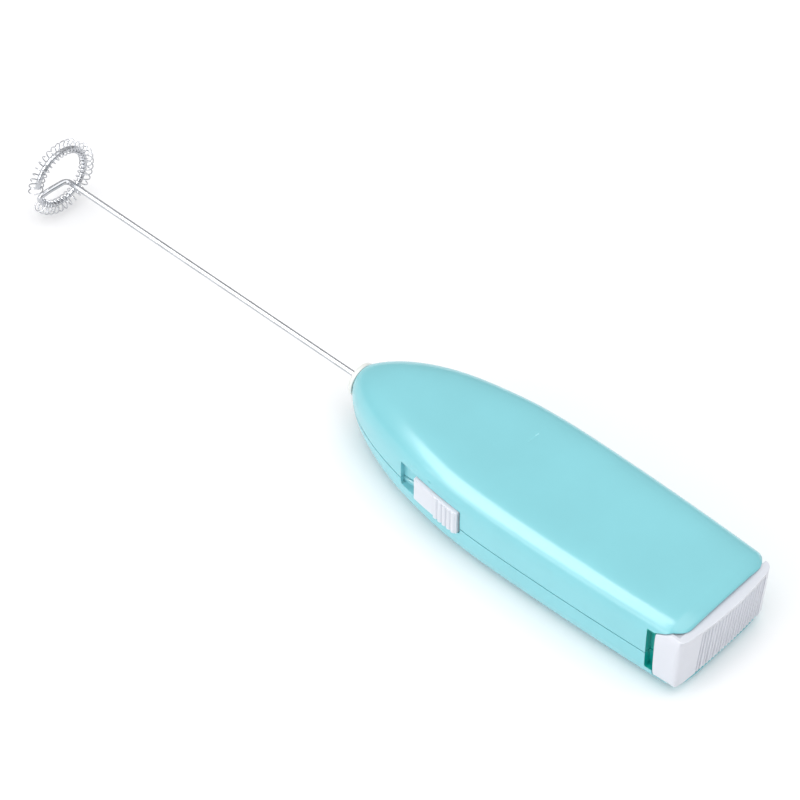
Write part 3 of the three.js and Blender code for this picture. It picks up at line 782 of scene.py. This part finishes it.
def grow(name, build, values):
    carrier = newObject(name, [(0, 0, 0)], [])
    modifier = carrier.modifiers.new("grow", "NODES")
    modifier.node_group = build.tree
    for item in build.tree.interface.items_tree:
        if item.in_out == "INPUT" and item.name in values:
            modifier[item.identifier] = values[item.name]
    return settleModifiers(carrier)


coil = {
    "Turns": 34.0,
    "Ring radius": 8.75,
    "Coil radius": 1.75,
    "Wire radius": 0.15,
    "Ring place": whisk["ringAt"],
    "Start angle": 0.32,
    "End angle": 6.08,
    "Steps": 900,
}


def coilTree():
    sizes = [(key, "NodeSocketInt" if key == "Steps" else "NodeSocketFloat") for key in coil]
    build, given = geometryTree("woundCoil", sizes)
    line = build.node("GeometryNodeMeshLine", inputs={"Count": given["Steps"]})
    index = build.node("GeometryNodeInputIndex")
    share = index / (given["Steps"] - 1)
    along = given["Start angle"] + (given["End angle"] - given["Start angle"]) * share
    around = share * given["Turns"] * (2 * math.pi)
    reach = given["Ring radius"] - given["Coil radius"] * around.cosine()
    x = given["Ring place"] + given["Coil radius"] * around.sine()
    where = build.vector(x, 0 - reach * along.cosine(), 0 - reach * along.sine())
    placed = build.node("GeometryNodeSetPosition", inputs={"Geometry": line, "Position": where})
    path = build.node("GeometryNodeMeshToCurve", inputs={0: placed})
    section = build.node("GeometryNodeCurvePrimitiveCircle", inputs={
        "Resolution": 8, "Radius": given["Wire radius"]})
    tube = build.node("GeometryNodeCurveToMesh", inputs={
        "Curve": path, "Profile Curve": section, "Fill Caps": True})
    endTree(build, given, tube)
    return build


def makeCoil():
    made = grow("coil", coilTree(), {**coil, "Material": springWire})
    faceOutwards(made).data.transform(Matrix.Rotation(whisk["lean"], 4, "X"))
    finishPiece(made, "whisk_coil_spring", "whisk", springWire, ["whisk_coil"], 60)


makeCoil()


def ridgeTree():
    sizes = [("Count", "NodeSocketInt"), ("First", "NodeSocketVector"), ("Step", "NodeSocketVector"),
             ("Arc radius", "NodeSocketFloat"), ("Half width", "NodeSocketFloat"),
             ("Height", "NodeSocketFloat"), ("Squash", "NodeSocketVector")]
    build, given = geometryTree("ridgeRow", sizes)
    row = build.node("GeometryNodeMeshLine", inputs={
        "Count": given["Count"], "Start Location": given["First"], "Offset": given["Step"]})
    where = build.node("GeometryNodeInputPosition")
    y = build.node("ShaderNodeSeparateXYZ", inputs={0: where}, output=1)
    arc = given["Arc radius"]
    sag = arc - (arc * arc - y * y).root()
    lower = build.node("GeometryNodeSetPosition", inputs={
        "Geometry": row, "Offset": build.vector(0 - sag, 0, 0)})
    bar = build.node("GeometryNodeMeshCylinder", inputs={
        "Vertices": 16, "Radius": given["Half width"], "Depth": given["Height"]})
    many = build.node("GeometryNodeInstanceOnPoints", inputs={
        "Points": lower, "Instance": bar, "Scale": given["Squash"]})
    endTree(build, given, many)
    return build


ridgeRow = ridgeTree()


# sliding switch
switch = {
    "proud": 0.8, "ribs": 5, "pitch": 1.45, "ribHeight": 0.42, "edge": 0.35,
    "stem": (36.6, 41.6), "stemSection": ((-15.5, -12.3), (-1, 1.6)),
    "foot": ((35.6, 43.6), (-12.9, -12.3), (-2.8, 3.3)),
    "ribShare": 0.46, "rowRadius": 100000.0,  # so large that the row of ribs is straight
}


def makeSwitch():
    front, back = sliderLow.x, sliderHigh.x
    floor = recess["floor"] - form["gap"]
    face = [front + (back - front) * i / 24 for i in range(25)]
    outline = [(front, floor)] + [(x, -(halfWidth(x) + switch["proud"])) for x in face]
    outline.append((back, floor))
    cap = prism("switchCap", outline, (sliderLow.z, sliderHigh.z))
    softenEdges(cap, switch["edge"], 4, 50)
    start = back - 0.3 - switch["pitch"] * (switch["ribs"] - 0.5)
    finish = start + switch["pitch"] * (switch["ribs"] - 1)
    slope = -(halfWidth(finish) - halfWidth(start)) / (switch["ribs"] - 1)
    ribHalf = switch["pitch"] * switch["ribShare"]
    ribs = grow("ribs", ridgeRow, {
        "Count": switch["ribs"],
        "First": (start, -(halfWidth(start) + switch["proud"]), (sliderLow.z + sliderHigh.z) / 2),
        "Step": (switch["pitch"], slope, 0.0),
        "Arc radius": switch["rowRadius"],
        "Half width": ribHalf,
        "Height": sliderHigh.z - sliderLow.z - 0.5,
        "Squash": (1.0, switch["ribHeight"] / ribHalf, 1.0),
        "Material": greyPlastic,
    })
    carve(cap, faceOutwards(ribs), "UNION")
    carve(cap, block(switch["stem"], *switch["stemSection"]), "UNION")
    carve(cap, block(*switch["foot"]), "UNION")
    finishPiece(cap, "switch_button", "switch", greyPlastic, ["switch_slider"])


makeSwitch()


# battery cover
cover = {
    "endRadius": 100, "nearCorner": 1.5, "farInset": 1.6, "farCorner": 4.5, "edge": 0.45,
    "lean": 0.09, "ribs": 20, "pitch": 1.13, "ribDepth": 0.4, "ribsFrom": -10.2, "ribsBelow": 1,
    "ribShare": 0.3, "firstRib": 0.71,
    "seat": form["length"] - 0.7, "flangeFront": form["length"] - 4.3,
    "flangeZ": (-7.4, 7.0),
}


def coverSag(y):
    return cover["endRadius"] - math.sqrt(cover["endRadius"] ** 2 - y * y)


def coverOutline():
    near, far = -halfWidth(form["length"]), halfWidth(form["length"]) - cover["farInset"]
    end = coverHigh.x
    outline = [(cover["seat"], near)]
    corner = cover["nearCorner"]
    for i in range(9):
        angle = math.pi / 2 * i / 8
        outline.append((end - coverSag(near) - corner * (1 - math.sin(angle)),
                        near + corner * (1 - math.cos(angle))))
    first, last = near + corner, far - cover["farCorner"]
    for i in range(1, 41):
        y = first + (last - first) * i / 40
        outline.append((end - coverSag(y), y))
    startX, startY = outline[-1]
    bendX, bendY = end - coverSag(far) + 0.6, far
    for i in range(1, 17):
        t = i / 16
        x = (1 - t) ** 2 * startX + 2 * t * (1 - t) * bendX + t * t * cover["seat"]
        y = (1 - t) ** 2 * startY + 2 * t * (1 - t) * bendY + t * t * far
        outline.append((x, y))
    return outline


def leaned(item):
    # the ribbed face falls back towards its foot
    for vertex in item.data.vertices:
        share = (vertex.co.x - cover["seat"]) / (coverHigh.x - cover["seat"])
        vertex.co.x -= share * cover["lean"] * (coverHigh.z - vertex.co.z)
    return item


def ribBand(depth):
    y0 = cover["ribsFrom"]
    y1 = y0 + cover["ribs"] * cover["pitch"]
    across = [y0 + (y1 - y0) * i / 30 for i in range(31)]
    inner = [(coverHigh.x - coverSag(y) - depth, y) for y in across]
    levels = (-20, coverHigh.z - cover["ribsBelow"])
    return leaned(prism("ribBand", inner + [(pastEnd, y1), (pastEnd, y0)], levels))


def makeCover():
    flush = handleSolid([form["length"] + step for step in (-17, -9, 0, 6)], 0, False)
    head = leaned(prism("coverHead", coverOutline(), (coverLow.z, coverHigh.z)))
    softenEdges(head, cover["edge"], 4, 40)
    carve(head, copyOf(flush), "INTERSECT")
    carve(head, ribBand(cover["ribDepth"]))
    pitch, ribHalf = cover["pitch"], cover["pitch"] * cover["ribShare"]
    ribTop = coverHigh.z - cover["ribsBelow"] + 0.2
    ribs = grow("coverRibs", ridgeRow, {
        "Count": cover["ribs"],
        "First": (coverHigh.x - cover["ribDepth"], cover["ribsFrom"] + pitch * cover["firstRib"],
                  (coverLow.z + ribTop) / 2),
        "Step": (0.0, pitch, 0.0),
        "Arc radius": float(cover["endRadius"]),
        "Half width": ribHalf,
        "Height": ribTop - coverLow.z - 0.4,
        "Squash": (cover["ribDepth"] / ribHalf, 1.0, 1.0),
        "Material": greyPlastic,
    })
    carve(head, leaned(faceOutwards(ribs)), "UNION")
    wing = wingSolid(0, rear["wingRear"], (-beyond, rear["wingInside"]))
    carve(wing, copyOf(flush), "INTERSECT")
    corner = block((rear["flangeRear"] + form["gap"] + 0.1, cover["seat"] + 0.3),
                   (-beyond, rear["cornerInside"]), (coverLow.z + 0.1, coverHigh.z - 0.1))
    carve(corner, flush, "INTERSECT")
    carve(head, corner, "UNION")
    carve(head, wing, "UNION")
    across = (rear["wingInside"] - 0.4, rear["farEnd"])
    carve(head, block((cover["flangeFront"], rear["flangeRear"]), across, cover["flangeZ"]), "UNION")
    neck = rear["lipDepth"] - form["gap"]
    carve(head, block((rear["flangeRear"] - 0.2, cover["seat"] + 0.2), across, (-neck, neck)), "UNION")
    finishPiece(head, "battery_cover_moulding", "cover", greyPlastic,
                ["battery_cover"], 24)


makeCover()


# inner pieces keep their shape and get their finishes
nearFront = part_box("cell_near")[0].x
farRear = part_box("cell_far")[1].x
shoulder = (0.0014, 0.013)  # metres in from the positive end
innerFinishes = {
    "switch_front_contact": brassStrip,
    "battery_contact_strip": brassStrip,
    "spring_plate": brassStrip,
    "battery_spring": springSteel,
    "cell_near": cellJacket("cellNear", nearFront + shoulder[0], nearFront + shoulder[1]),
    "cell_far": cellJacket("cellFar", farRear - shoulder[1], farRear - shoulder[0]),
    "motor_can": motorSteel,
    "motor_end_cap": whitePlastic,
    "motor_magnet_near": ferrite,
    "motor_magnet_far": ferrite,
    "motor_front_bearing": brassStrip,
    "motor_rear_bearing": brassStrip,
    "brush_near": copperSheet,
    "brush_far": copperSheet,
    "lead_switch_to_motor": redSleeve,
    "lead_motor_to_spring": blackSleeve,
    "motor_shaft": whiskSteel,
    "armature_core": coreIron,
    "armature_winding_1": copperWire,
    "armature_winding_2": copperWire,
    "armature_winding_3": copperWire,
    "commutator": copperSheet,
    "shaft_coupling": whitePlastic,
    "switch_bridge": brassStrip,
    "cover_contact": springSteel,
}
for nodeName, nodeFinish in innerFinishes.items():
    for materialSlot in frame["nodes"][nodeName].material_slots:
        materialSlot.material = nodeFinish
print("inner pieces finished:", len(innerFinishes))


# floor, light and camera
studio = {
    "floorSize": 6.0,
    "lightAim": (0.05, 0, 0.01),
    "floorTone": tone(250, 250, 251),
    "skyTop": (1.0, 1.0, 1.0, 1),
    "skyEdge": (0.3, 0.3, 0.31, 1),
    "skyStrength": 0.86,
    "overhead": {"place": (0.5, -0.1, 1.5), "size": (1.6, 1.6), "along": (0, 1, 0), "power": 11.5},
    "edgeBox": {"place": (-0.5, -0.48, 0.98), "size": (0.5, 1.15), "along": (0, 0.89, 0.455), "power": 12,
                "onlyShine": True},
    "sideFill": {"place": (-0.35, -1.3, 0.45), "size": (1.3, 0.6), "along": (0, 0, 1), "power": 7.5},
}


def makeFloor():
    half = studio["floorSize"] / 2
    level = cadLow.z
    corners = [(-half, -half, level), (half, -half, level), (half, half, level), (-half, half, level)]
    floor = newObject("floor", corners, [(0, 1, 2, 3)])
    made = Finish("floorPaper")
    paper = made.noise(30, 4)
    shaded = tuple(channel * 0.99 for channel in studio["floorTone"][:3]) + (1.0,)
    colour = made.mix(paper, studio["floorTone"], shaded)
    normal = made.bump(made.noise(900, 3), 0.00002)
    made.close(colour, 0.6 + paper * 0.1, normal, {"Specular IOR Level": 0.2})
    floor.data.materials.append(made.material)


def makeWorld():
    world = bpy.data.worlds.new("studio")
    world.use_nodes = True
    background = world.node_tree.nodes["Background"]
    sky = Tree(world.node_tree)
    ray = sky.node("ShaderNodeTexCoord", output=0)
    height = sky.node("ShaderNodeSeparateXYZ", inputs={0: ray}, output=2)
    stops = [(0.0, studio["skyEdge"]), (0.75, studio["skyTop"])]
    ramp = sky.node("ShaderNodeValToRGB", {"stops": stops}, {0: height})
    connect(sky.tree, background.inputs["Color"], ramp)
    background.inputs["Strength"].default_value = studio["skyStrength"]
    bpy.context.scene.world = world


def makeLight(name, look):
    light = bpy.data.lights.new(name, "AREA")
    light.shape = "RECTANGLE"
    light.size, light.size_y = look["size"]
    light.energy = look["power"]
    made = bpy.data.objects.new(name, light)
    made.location = look["place"]
    back = (Vector(look["place"]) - Vector(studio["lightAim"])).normalized()
    side = Vector(look["along"]).cross(back).normalized()
    made.rotation_euler = Matrix((side, back.cross(side), back)).transposed().to_euler()
    made.visible_diffuse = not look.get("onlyShine", False)  # a softbox only seen in the gloss
    bpy.context.scene.collection.objects.link(made)


view = {
    "azimuth": 42.335,
    "elevation": 47.225,
    "roll": 0.181,
    "distance": 0.8332,
    "lens": 158.84,
    "aim": nose + Vector((10.247, 1.206, 0)) * mm,
}


def makeCamera():
    azimuth, elevation, roll = (math.radians(view[key]) for key in ("azimuth", "elevation", "roll"))
    flat = math.cos(elevation)
    back = Vector((math.sin(azimuth) * flat, -math.cos(azimuth) * flat, math.sin(elevation)))
    right = (-back).cross(Vector((0, 0, 1))).normalized()
    up = right.cross(-back)
    turnedRight = right * math.cos(roll) + up * math.sin(roll)
    turnedUp = up * math.cos(roll) - right * math.sin(roll)
    camera = bpy.data.cameras.new("camera")
    camera.lens = view["lens"]
    camera.sensor_width = 36
    camera.clip_start, camera.clip_end = 0.01, 20
    made = bpy.data.objects.new("camera", camera)
    place = view["aim"] + back * view["distance"]
    turn = Matrix((turnedRight, turnedUp, back)).transposed().to_4x4()
    made.matrix_world = Matrix.Translation(place) @ turn
    bpy.context.scene.collection.objects.link(made)
    bpy.context.scene.camera = made


makeFloor()
makeWorld()
for lightName in ("overhead", "edgeBox", "sideFill"):
    makeLight(lightName, studio[lightName])
makeCamera()
bpy.context.scene.view_settings.view_transform = "Standard"
print("studio ready")
